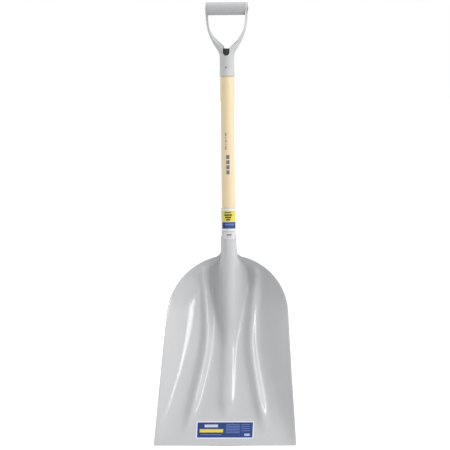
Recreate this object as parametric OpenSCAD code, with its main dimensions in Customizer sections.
// Grain scoop shovel: a moulded plastic scoop on a hardwood shaft, with a pressed steel D grip.
// Millimetres. +Z runs up the shaft, +X to the right, and the hollow of the scoop faces -Y.
// The origin is the middle of the scoop's front edge, and every height is measured up from it.

/* [Scoop] */
// Width across the front edge
edge_w = 396; // [386:1:404]
// Angle that each side leans in towards the back, in degrees
side_lean = 4.5; // [3.75:0.25:5.25]
// Height of the centre that the back is rounded about
back_z = 350; // [343:1:357]
// Width of the floor between the side walls, at the front edge
floor_w = 360; // [350:1:368]
// Depth from the rim to the floor, where the scoop is deepest
rim_depth = 76; // [66:1:80]
// Distance from the front edge back to the line of the shaft
reach = 140; // [134:1:146]
// Thickness of the moulded wall
wall = 4; // [3.5:0.5:5]
// Height of the two outer ribs above the floor
side_rib_h = 12.5; // [9:0.5:15]
// Height of the middle rib above the floor, below the socket
mid_rib_h = 12; // [9:1:14]

/* [Shaft] */
// Diameter of the wooden shaft
shaft_d = 38; // [36:0.5:39]
// Outer diameter of the scoop's socket and of the grip's ferrule
socket_d = 40; // [39.5:0.5:42]
// Height of the socket's mouth
mouth_z = 650; // [635:5:665]

/* [Grip] */
// Height of the whole shovel
overall_h = 1220; // [1150:5:1300]
// Width across the arms of the grip
grip_w = 115; // [110:1:125]
// Diameter of the crossbar
bar_d = 36; // [33:1:37]
// Thickness of the yoke's steel
steel = 2.6; // [2:0.1:3]

/* [Labels] */
// Width of the label on the scoop
label_w = 160; // [100:5:165]
// Height of the label on the scoop, seen square to the shaft
label_h = 47; // [30:1:48]

/* [Hidden] */
$fn = 64;

// Gap left between pieces that fit into each other
fit = 0.3;

// Outline of the scoop, seen from the front
corner_r = 6;
back_r = (edge_w / 2 - tan(side_lean) * back_z) * cos(side_lean);
side_top_z = back_z + back_r * sin(side_lean);
neck_r = socket_d / 2 + 0.7;
neck_fillet = 22;
fillet_x = neck_r + neck_fillet;
fillet_z = back_z + sqrt(pow(back_r + neck_fillet, 2) - pow(fillet_x, 2));
join_z = back_z + back_r * (fillet_z - back_z) / (back_r + neck_fillet);
scoop_top_z = fillet_z + 4;

// Floor of the scoop: straight sides that lean in, and a round back end
floor_lean = 13.4;
floor_back_z = 402;
floor_back_r = (floor_w / 2 - tan(floor_lean) * floor_back_z) * cos(floor_lean);
// The floor rises from the front edge at this slope, and levels out by this much
lift = 0.575;
lift_bend = 0.00029;
edge_t = wall * sqrt(1 + lift * lift);

// Rim: its height over the floor at the front edge, and where it reaches its full depth
edge_rise = 3;
full_depth_z = 360;
// How wide the fillet at the foot of the walls is, as a part of the wall's own width
foot_share = 0.8;
lip_round = 6;
steepest = 2.4;

// Outer ribs: closest together at the waist, and further apart above and below it
rib_waist_z = 300;
rib_waist_x = 61;
rib_bend = 15;
rib_spread_below = 0.235;
rib_spread_above = 0.13;
rib_width = 14;
rib_front_z = 20;
rib_full_z = 140;
// The ribs end this far in from the rim, and fade over this width
rib_end = 6;
rib_fade = 26;

// Middle ridge: the socket's half-round front runs down into the floor
ridge_tilt = 56;
neck_tilt = 70;
ridge_tilt_z = 490;
crown_blend = 8;
mid_rib_z = 250;
mid_rib_fall = 0.06;
mid_rib_round = 30;
mid_rib_sink = 8;
// How wide the ridge's foot is rounded: hardly at the front, well in the middle, and to a
// crease at the back
front_blend = 3;
front_from_z = 50;
front_to_z = 130;
foot_blend = 20;
crease_blend = 8;
crease_from_z = 230;
crease_to_z = 400;

// Socket
bore_r = socket_d / 2 - 3.4;
bore_z = 380;
nose_z = 336;
nose_top_z = 372;
nose_r = 10;
// Webs between the socket and the flanks of the ridge. Their slanting edges end inside the wall.
web_t = 3;
web_heights = [388, 428, 468];
web_narrow = 14;
web_wide = 38.5;
web_from_y = -13;
web_to_y = 23;
screw_z = 605;
screw_r = 2.6;
// The screw's washer lies on a flat seat in the back of the socket
washer_r = 7;
washer_t = 1.2;
seat_r = 7.5;
seat_cut = 0.8;

// Grip
bar_r = bar_d / 2;
bar_z = overall_h - bar_r;
grip_x = grip_w / 2;
ferrule_z = bar_z - 187;
ferrule_top_z = ferrule_z + 56;
ferrule_rivet_z = ferrule_z + 25;
rivet_r = 2.4;
burr_t = 1;
bar_rivet_r = 4;
bar_burr_t = 1.2;
eye_t = 3.6;
bead_h = 5;
bead_out = 0.8;
// The faces of the eyes stand out from the arms by this much
eye_out = 0.2;
// The arms leave the ferrule on a small arc and come upright again on a large one
arm_z = ferrule_z + 53;
arm_r = socket_d / 2 + 0.4;
arm_top_z = bar_z - 6;
arm_rise = bar_z - 20 - arm_z;
arm_turn = 2 * atan((grip_x - arm_r) / arm_rise);
arm_arc_1 = 36;
arm_arc_2 = arm_rise / sin(arm_turn) - arm_arc_1;
// The two arms lap over each other at the foot, where each edge passes the middle by this angle
arm_lap = 3;
// The arms flatten from half a tube to a strap
strap_depth = 3.2;
flat_from_z = arm_z + 4;
flat_to_z = arm_z + 82;
// The front edges of the arms are cut back by this angle just above the ferrule
edge_cut = 22;
edge_cut_z = arm_z + 36;
edge_cut_reach = 30;
// A slot with a round foot parts the arms
slot_r = 9;
slot_z = arm_z + 13;
slot_h = 16;

// Number of steps in the computed surfaces
scoop_cols = 44;
side_rows = 22;
back_rows = 18;
fillet_rows = 4;
arm_rows = 26;
arm_cols = 16;

// --- Small functions ---

function hyp(a, b) = sqrt(a * a + b * b);

// Rises from 0 to t around t = 0, rounded over a width r
function ramp(t, r) = (t + hyp(t, r)) / 2;

function blend_max(a, b, r) = (a + b + hyp(a - b, r)) / 2;

function blend_min(a, b, r) = (a + b - hyp(a - b, r)) / 2;

// Goes smoothly from 0 at t = 0 to 1 at t = 1
function ease(t) = let (s = min(1, max(0, t))) s * s * (3 - 2 * s);

// --- Shape of the scoop ---

function side_x(z) = edge_w / 2 - z * tan(side_lean);

// Half the width of the scoop at a height
function outline_x(z) =
    z < corner_r ? side_x(z) - corner_r + sqrt(pow(corner_r, 2) - pow(corner_r - z, 2)) :
    z < side_top_z ? side_x(z) :
    z < join_z ? sqrt(pow(back_r, 2) - pow(z - back_z, 2)) :
    z < fillet_z ? fillet_x - sqrt(pow(neck_fillet, 2) - pow(fillet_z - z, 2)) :
    neck_r;

// Distance in from the rim
function inside_rim(x, z) =
    z - back_z > abs(x) * tan(side_lean) ? back_r - hyp(x, z - back_z) :
    (side_x(z) - abs(x)) * cos(side_lean);

// Distance out from the edge of the floor, which is negative on the floor
function outside_floor(x, z) =
    z - floor_back_z > abs(x) * tan(floor_lean) ? hyp(x, z - floor_back_z) - floor_back_r :
    (abs(x) - floor_w / 2 + z * tan(floor_lean)) * cos(floor_lean);

function floor_y(z) = -edge_t / 2 + lift * z - lift_bend * z * z;

function rim_rise(z) =
    edge_rise + (rim_depth - edge_rise) * sin(90 * min(1, z / full_depth_z));

// Height of the walls over the floor
function wall_rise(x, z) =
    let (out = outside_floor(x, z))
    let (band = out + inside_rim(x, z))
    let (foot = foot_share * band)
    let (rise = rim_rise(z) * ramp(out, foot) / ramp(band, foot))
    blend_min(rise, rim_rise(z), lip_round);

function rib_x(z) =
    let (spread = z < rib_waist_z ? rib_spread_below : rib_spread_above)
    rib_waist_x - rib_bend + hyp(rib_bend, spread * (z - rib_waist_z));

function side_rib_rise(x, z) =
    side_rib_h * exp(-pow((abs(x) - rib_x(z)) / rib_width, 2))
    * ease((z - rib_front_z) / (rib_full_z - rib_front_z))
    * ease((inside_rim(x, z) - rib_end) / rib_fade);

// Drop from the ridge's crown to its side: a circle, and then a straight flank
function flank_drop(a, tilt) =
    a < neck_r * sin(tilt) ? neck_r - sqrt(neck_r * neck_r - a * a) :
    neck_r * (1 - cos(tilt)) + (a - neck_r * sin(tilt)) * tan(tilt);

// Share of the middle rib's height and rounding that is there at a height
function front_share(z) = ease((z - front_from_z) / (front_to_z - front_from_z));

function mid_rib_rise(z) =
    mid_rib_h - mid_rib_fall * ramp(mid_rib_z - z, mid_rib_round)
    - mid_rib_sink * (1 - front_share(z));

function ridge_rise(x, z) =
    let (tilt = ridge_tilt + (neck_tilt - ridge_tilt)
        * ease((z - ridge_tilt_z) / (fillet_z - ridge_tilt_z)))
    let (crown = blend_max(floor_y(z) - reach + neck_r, mid_rib_rise(z), crown_blend))
    crown - flank_drop(abs(x), tilt);

function ridge_blend(z) =
    front_blend + (foot_blend - front_blend) * front_share(z)
    + (crease_blend - foot_blend) * ease((z - crease_from_z) / (crease_to_z - crease_from_z));

// The hollow side of the scoop
function front_y(x, z) =
    floor_y(z)
    - blend_max(wall_rise(x, z) + side_rib_rise(x, z), ridge_rise(x, z), ridge_blend(z));

// The back of the wall, which keeps its thickness on the slopes
function back_y(x, z) =
    let (e = 0.5)
    let (slope_x = (front_y(x + e, z) - front_y(x - e, z)) / (2 * e))
    let (slope_z = (front_y(x, z + e) - front_y(x, z - e)) / (2 * e))
    front_y(x, z) + wall * min(steepest, sqrt(1 + pow(slope_x, 2) + pow(slope_z, 2)));

// Heights of the rows of points, close together where the outline turns
scoop_rows = concat(
    [for (a = [0 : 30 : 90]) corner_r * (1 - cos(a))],
    [for (i = [1 : side_rows]) corner_r + (side_top_z - corner_r) * i / side_rows],
    let (top = asin((join_z - back_z) / back_r))
    [for (i = [1 : back_rows]) back_z + back_r * sin(side_lean + (top - side_lean) * i / back_rows)],
    let (turn = acos((fillet_z - join_z) / neck_fillet))
    [for (i = [1 : fillet_rows]) fillet_z - neck_fillet * cos(turn + (90 - turn) * i / fillet_rows)],
    [scoop_top_z]);

// Places across a row from -1 to 1, closer together in the middle
function across(t) = 0.68 * t + 0.32 * pow(t, 3);

// --- Building blocks ---

// A closed solid between two grids of points. With rows that run up and points that run
// towards +X, the first grid faces -Y.
module slab(front, back) {
    rows = len(front) - 1;
    cols = len(front[0]) - 1;
    size = (rows + 1) * (cols + 1);
    function at(side, r, c) = side * size + r * (cols + 1) + c;
    function quad(a, b, c, d) = [[a, b, c], [a, c, d]];
    faces = [
        for (r = [0 : rows - 1], c = [0 : cols - 1]) each concat(
            quad(at(0, r, c), at(0, r + 1, c), at(0, r + 1, c + 1), at(0, r, c + 1)),
            quad(at(1, r, c), at(1, r, c + 1), at(1, r + 1, c + 1), at(1, r + 1, c))),
        for (c = [0 : cols - 1]) each concat(
            quad(at(0, 0, c), at(0, 0, c + 1), at(1, 0, c + 1), at(1, 0, c)),
            quad(at(0, rows, c + 1), at(0, rows, c), at(1, rows, c), at(1, rows, c + 1))),
        for (r = [0 : rows - 1]) each concat(
            quad(at(0, r + 1, 0), at(0, r, 0), at(1, r, 0), at(1, r + 1, 0)),
            quad(at(0, r, cols), at(0, r + 1, cols), at(1, r + 1, cols), at(1, r, cols)))];
    polyhedron([for (row = concat(front, back)) each row], faces, convexity = 10);
}

// Moves to a height on the line of the shaft
module on_shaft(z) {
    translate([0, reach, z]) children();
}

// Turns a shape that points up so that it points along +X or +Y
module along_x() {
    rotate([0, 90, 0]) children();
}

module along_y() {
    rotate([-90, 0, 0]) children();
}

// A low dome with a flat base, which points up
module dome(r, h) {
    ball_r = (r * r + h * h) / (2 * h);
    intersection() {
        translate([0, 0, h - ball_r]) sphere(r = ball_r);
        cylinder(r = r, h = h);
    }
}

// --- Scoop ---

module scoop_shell() {
    rows = [for (z = scoop_rows) [for (i = [0 : scoop_cols])
        [outline_x(z) * across(2 * i / scoop_cols - 1), z]]];
    slab([for (row = rows) [for (p = row) [p[0], front_y(p[0], p[1]), p[1]]]],
        [for (row = rows) [for (p = row) [p[0], back_y(p[0], p[1]), p[1]]]]);
}

// The tube that holds the shaft, with a tapered closed end behind the ridge
module socket_body() {
    on_shaft(nose_top_z) cylinder(d = socket_d, h = mouth_z - nose_top_z);
    on_shaft(nose_z) cylinder(r1 = nose_r, r2 = socket_d / 2, h = nose_top_z - nose_z);
    for (z = web_heights) on_shaft(z) web();
}

// A thin plate between the socket and the flanks of the ridge
module web() {
    linear_extrude(web_t) polygon([[-web_narrow, web_from_y], [web_narrow, web_from_y],
        [web_wide, web_to_y], [-web_wide, web_to_y]]);
}

module scoop() {
    color("gainsboro") difference() {
        union() {
            scoop_shell();
            socket_body();
        }
        on_shaft(bore_z) cylinder(r = bore_r, h = mouth_z - bore_z + 1);
        on_shaft(screw_z) along_y() cylinder(r = screw_r + fit / 2, h = socket_d);
        on_shaft(screw_z) translate([0, socket_d / 2 - seat_cut, 0]) along_y()
            cylinder(r = seat_r, h = 5);
    }
}

// --- Shaft ---

module shaft() {
    tenon_r = bore_r - fit;
    ferrule_tenon_r = socket_d / 2 - steel - fit;
    lower_z = bore_z + 3;
    upper_z = slot_z + 11;
    chamfer = 3;
    color("burlywood") difference() {
        union() {
            on_shaft(mouth_z + fit) cylinder(d = shaft_d, h = ferrule_z - mouth_z - 2 * fit);
            on_shaft(lower_z) cylinder(r1 = tenon_r - chamfer, r2 = tenon_r, h = chamfer);
            on_shaft(lower_z + chamfer) cylinder(r = tenon_r, h = mouth_z - lower_z);
            on_shaft(ferrule_z - 1) cylinder(r = ferrule_tenon_r, h = upper_z - chamfer - ferrule_z + 1);
            on_shaft(upper_z - chamfer)
                cylinder(r1 = ferrule_tenon_r, r2 = ferrule_tenon_r - chamfer, h = chamfer);
        }
        on_shaft(screw_z) along_y() cylinder(r = screw_r + fit / 2, h = socket_d);
        on_shaft(ferrule_rivet_z) translate([0, -socket_d, 0]) along_y()
            cylinder(r = rivet_r + fit / 2, h = 2 * socket_d);
    }
}

// --- Grip ---

// Lean of an arm away from upright, at a distance along it
function arm_lean(s) =
    let (first = arm_arc_1 * arm_turn * PI / 180)
    let (second = arm_arc_2 * arm_turn * PI / 180)
    s < first ? s / arm_arc_1 * 180 / PI :
    s < first + second ? arm_turn - (s - first) / arm_arc_2 * 180 / PI : 0;

// Outer face of an arm in the plane of the grip, as [x, z]
function arm_point(s) =
    let (first = arm_arc_1 * arm_turn * PI / 180)
    let (second = arm_arc_2 * arm_turn * PI / 180)
    let (lean = arm_lean(s))
    s < first ? [arm_r + arm_arc_1 * (1 - cos(lean)), arm_z + arm_arc_1 * sin(lean)] :
    s < first + second ?
        [grip_x - arm_arc_2 * (1 - cos(lean)), arm_z + arm_rise - arm_arc_2 * sin(lean)] :
    [grip_x, arm_z + arm_rise + s - first - second];

arm_length = (arm_arc_1 + arm_arc_2) * arm_turn * PI / 180 + arm_top_z - arm_z - arm_rise;

// One row of points round an arm's section: inset 0 is its outer face, and steel its inner face
function arm_row(s, inset) =
    let (p = arm_point(s), lean = arm_lean(s))
    let (flat = ease((p[1] - flat_from_z) / (flat_to_z - flat_from_z)))
    let (depth = arm_r + (strap_depth - arm_r) * flat)
    let (half = arm_r + (bar_r - arm_r) * flat)
    let (cut = edge_cut * ease(1 - abs(p[1] - edge_cut_z) / edge_cut_reach))
    [for (i = [0 : arm_cols])
        let (turn = cut - 90 - arm_lap + (180 + 2 * arm_lap - cut) * i / arm_cols)
        let (sunk = inset + (depth - inset) * (1 - cos(turn)))
        [p[0] - sunk * cos(lean), (half - inset) * sin(turn), p[1] + sunk * sin(lean)]];

module grip_arm() {
    rows = [for (i = [0 : arm_rows]) arm_length * i / arm_rows];
    slab([for (s = rows) arm_row(s, 0)], [for (s = rows) arm_row(s, steel)]);
}

module grip_yoke() {
    color("lightgray") on_shaft(0) difference() {
        union() {
            translate([0, 0, ferrule_z]) cylinder(d = socket_d, h = ferrule_top_z - ferrule_z);
            translate([0, 0, ferrule_z]) cylinder(r = socket_d / 2 + bead_out, h = bead_h);
            grip_arm();
            mirror([1, 0, 0]) grip_arm();
            for (x = [-grip_x - eye_out, grip_x + eye_out - eye_t])
                translate([x, 0, bar_z]) along_x() cylinder(r = bar_r, h = eye_t);
        }
        translate([0, 0, ferrule_z - 1])
            cylinder(r = socket_d / 2 - steel + 0.25, h = ferrule_top_z - ferrule_z + 2);
        translate([0, -socket_d, slot_z]) along_y() cylinder(r = slot_r, h = 2 * socket_d);
        translate([-slot_r, -socket_d, slot_z]) cube([2 * slot_r, 2 * socket_d, slot_h]);
        translate([-grip_w, 0, bar_z]) along_x()
            cylinder(r = bar_rivet_r + fit / 2, h = 2 * grip_w);
        translate([0, -socket_d, ferrule_rivet_z]) along_y()
            cylinder(r = rivet_r + fit / 2, h = 2 * socket_d);
    }
}

// The crossbar: a tube with a hub and six ribs inside it, clamped between the arms
module grip_sleeve() {
    half = grip_x + eye_out - eye_t - fit;
    hub_r = 7.5;
    bar_wall = 3;
    end_wall = 4;
    color("silver") on_shaft(bar_z) difference() {
        translate([-half, 0, 0]) along_x() cylinder(r = bar_r, h = 2 * half);
        for (side = [-1, 1]) for (a = [0 : 60 : 300])
            rotate([a, 0, 0]) translate([side > 0 ? end_wall / 2 : end_wall - half, 0, 0])
                sleeve_pocket(half - 1.5 * end_wall, hub_r, bar_r - bar_wall);
        translate([-half - 1, 0, 0]) along_x() cylinder(r = bar_rivet_r + fit / 2, h = 2 * half + 2);
    }
}

// A sealed sixth of the space between the hub and the tube, less half a rib on each side
module sleeve_pocket(length, inner_r, outer_r) {
    along_x() rotate([0, 0, 5]) rotate_extrude(angle = 50)
        translate([inner_r, 0]) square([outer_r - inner_r, length]);
}

module grip_rivet() {
    head_x = grip_x + eye_out;
    color("darkgray") on_shaft(bar_z) {
        translate([-head_x - 0.5, 0, 0]) along_x() cylinder(r = bar_rivet_r, h = 2 * head_x + 2);
        translate([-head_x, 0, 0]) mirror([1, 0, 0]) along_x() dome(7.5, 2.2);
        translate([head_x + bar_burr_t, 0, 0]) along_x() dome(6, 2);
    }
}

module grip_rivet_burr() {
    color("darkgray") on_shaft(bar_z) translate([grip_x + eye_out, 0, 0]) along_x() difference() {
        cylinder(r = 8.5, h = bar_burr_t);
        translate([0, 0, -1]) cylinder(r = bar_rivet_r + fit / 2, h = 4);
    }
}

module ferrule_rivet() {
    color("gray") on_shaft(ferrule_rivet_z) {
        translate([0, -socket_d / 2 - 0.5, 0]) along_y() cylinder(r = rivet_r, h = socket_d + 2);
        translate([0, -socket_d / 2, 0]) mirror([0, 1, 0]) along_y() dome(3.8, 1.6);
        translate([0, socket_d / 2 + burr_t, 0]) along_y() dome(3.6, 1.5);
    }
}

module ferrule_rivet_burr() {
    color("gray") on_shaft(ferrule_rivet_z) translate([0, socket_d / 2, 0]) along_y() difference() {
        cylinder(r = 5.5, h = burr_t);
        translate([0, 0, -1]) cylinder(r = rivet_r + fit / 2, h = 3);
    }
}

// --- Screw at the back of the socket ---

module socket_screw() {
    seat_y = socket_d / 2 - seat_cut + washer_t;
    color("gray") on_shaft(screw_z) {
        translate([0, 2, 0]) along_y() cylinder(r = screw_r, h = seat_y - 1.5);
        translate([0, seat_y, 0]) along_y() dome(5, 2.6);
    }
}

module socket_screw_washer() {
    color("gray") on_shaft(screw_z) translate([0, socket_d / 2 - seat_cut, 0]) along_y() difference() {
        cylinder(r = washer_r, h = washer_t);
        translate([0, 0, -1]) cylinder(r = screw_r + fit / 2, h = 4);
    }
}

// --- Labels ---

// A thin patch round the front of the socket. Angles are from -Y, towards +X.
module socket_patch(z, h, from, to) {
    on_shaft(z) rotate([0, 0, -90 + from]) rotate_extrude(angle = to - from)
        translate([socket_d / 2 + 0.05, 0]) square([0.3, h]);
}

module socket_label() {
    color("gold") socket_patch(mouth_z - 62, 61, -50, 80);
}

module code_label() {
    color("white") socket_patch(mouth_z - 85, 18, -36, 63);
}

// A thin sheet that follows the floor, with rounded corners
module scoop_label() {
    middle_x = -2;
    middle_z = 43;
    round_r = 4;
    cols = 20;
    down = label_h / 2;
    rows = concat(
        [for (a = [0 : 30 : 90]) -down + round_r * (1 - cos(a))],
        [for (i = [1 : 5]) (down - round_r) * (2 * i / 6 - 1)],
        [for (a = [90 : -30 : 0]) down - round_r * (1 - cos(a))]);
    function half_w(v) =
        let (past = max(0, abs(v) - down + round_r))
        label_w / 2 - round_r + sqrt(round_r * round_r - past * past);
    function sheet(gap) = [for (v = rows) [for (i = [0 : cols])
        let (x = middle_x + half_w(v) * (2 * i / cols - 1), z = middle_z + v)
        [x, front_y(x, z) - gap, z]]];
    color("royalblue") slab(sheet(0.5), sheet(0.1));
}

scoop();
shaft();
grip_yoke();
grip_sleeve();
grip_rivet();
grip_rivet_burr();
ferrule_rivet();
ferrule_rivet_burr();
socket_screw();
socket_screw_washer();
scoop_label();
socket_label();
code_label();
